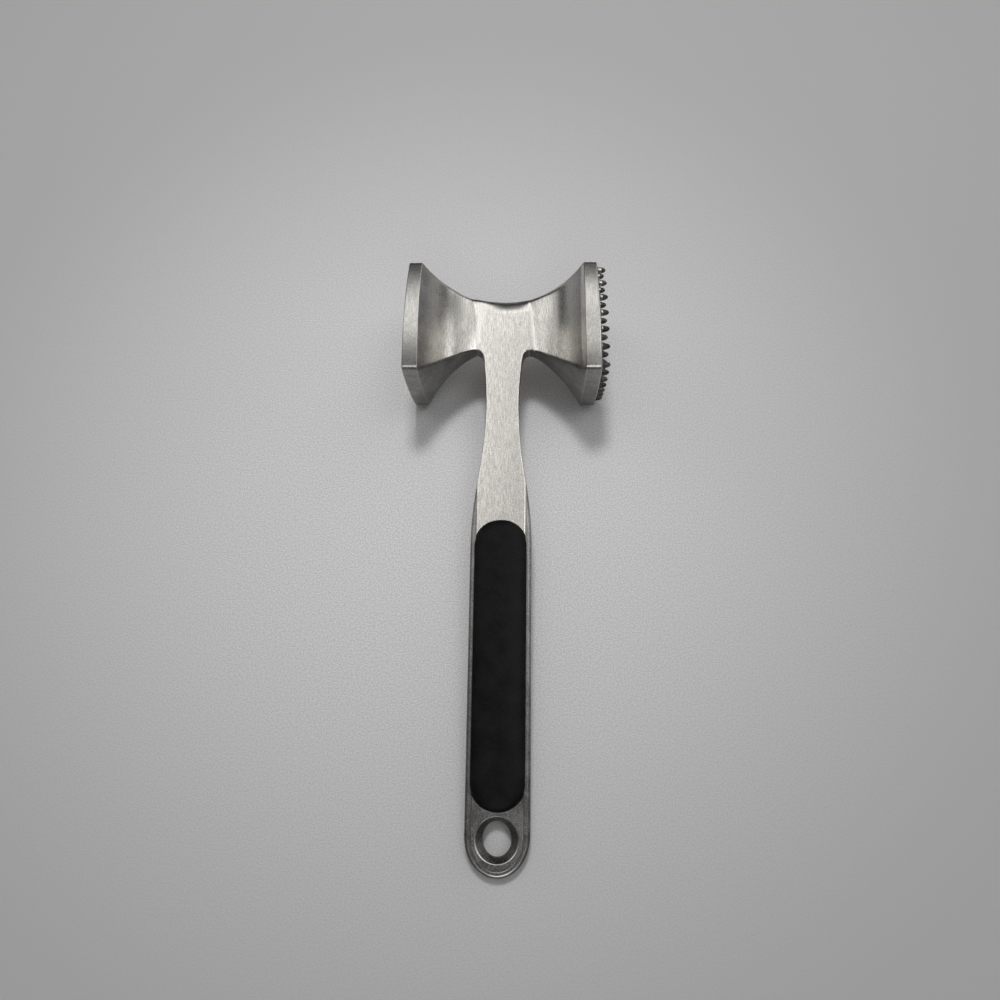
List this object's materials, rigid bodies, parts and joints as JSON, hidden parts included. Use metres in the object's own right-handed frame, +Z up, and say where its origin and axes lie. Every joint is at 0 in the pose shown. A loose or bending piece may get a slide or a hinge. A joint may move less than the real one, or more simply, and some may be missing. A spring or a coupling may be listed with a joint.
{
  "type": "meat mallet",
  "caption": "Meat mallet with a cast hourglass head, smooth on one face and studded on the other, and a flat flanged handle with rubber grip pads and a hang hole.",
  "frame": {"origin": "centre of the mallet's footprint box, on the table that it lies on", "axes": "+Z up from the table; +X from the smooth striking face to the studded face; +Y from the end of the handle to the head. The mallet lies on the lower edges of its two faces and on the end of its handle"},
  "size_m": [0.089, 0.2556, 0.0549],
  "materials": {
    "cast_aluminium": "satin, finely brushed along the handle",
    "grip_rubber": "matte black, fine moulded grain"
  },
  "bodies": {
    "root": {"mallet_casting": "cast_aluminium", "front_grip_pad": "grip_rubber", "rear_grip_pad": "grip_rubber"}
  },
  "joints": []
}
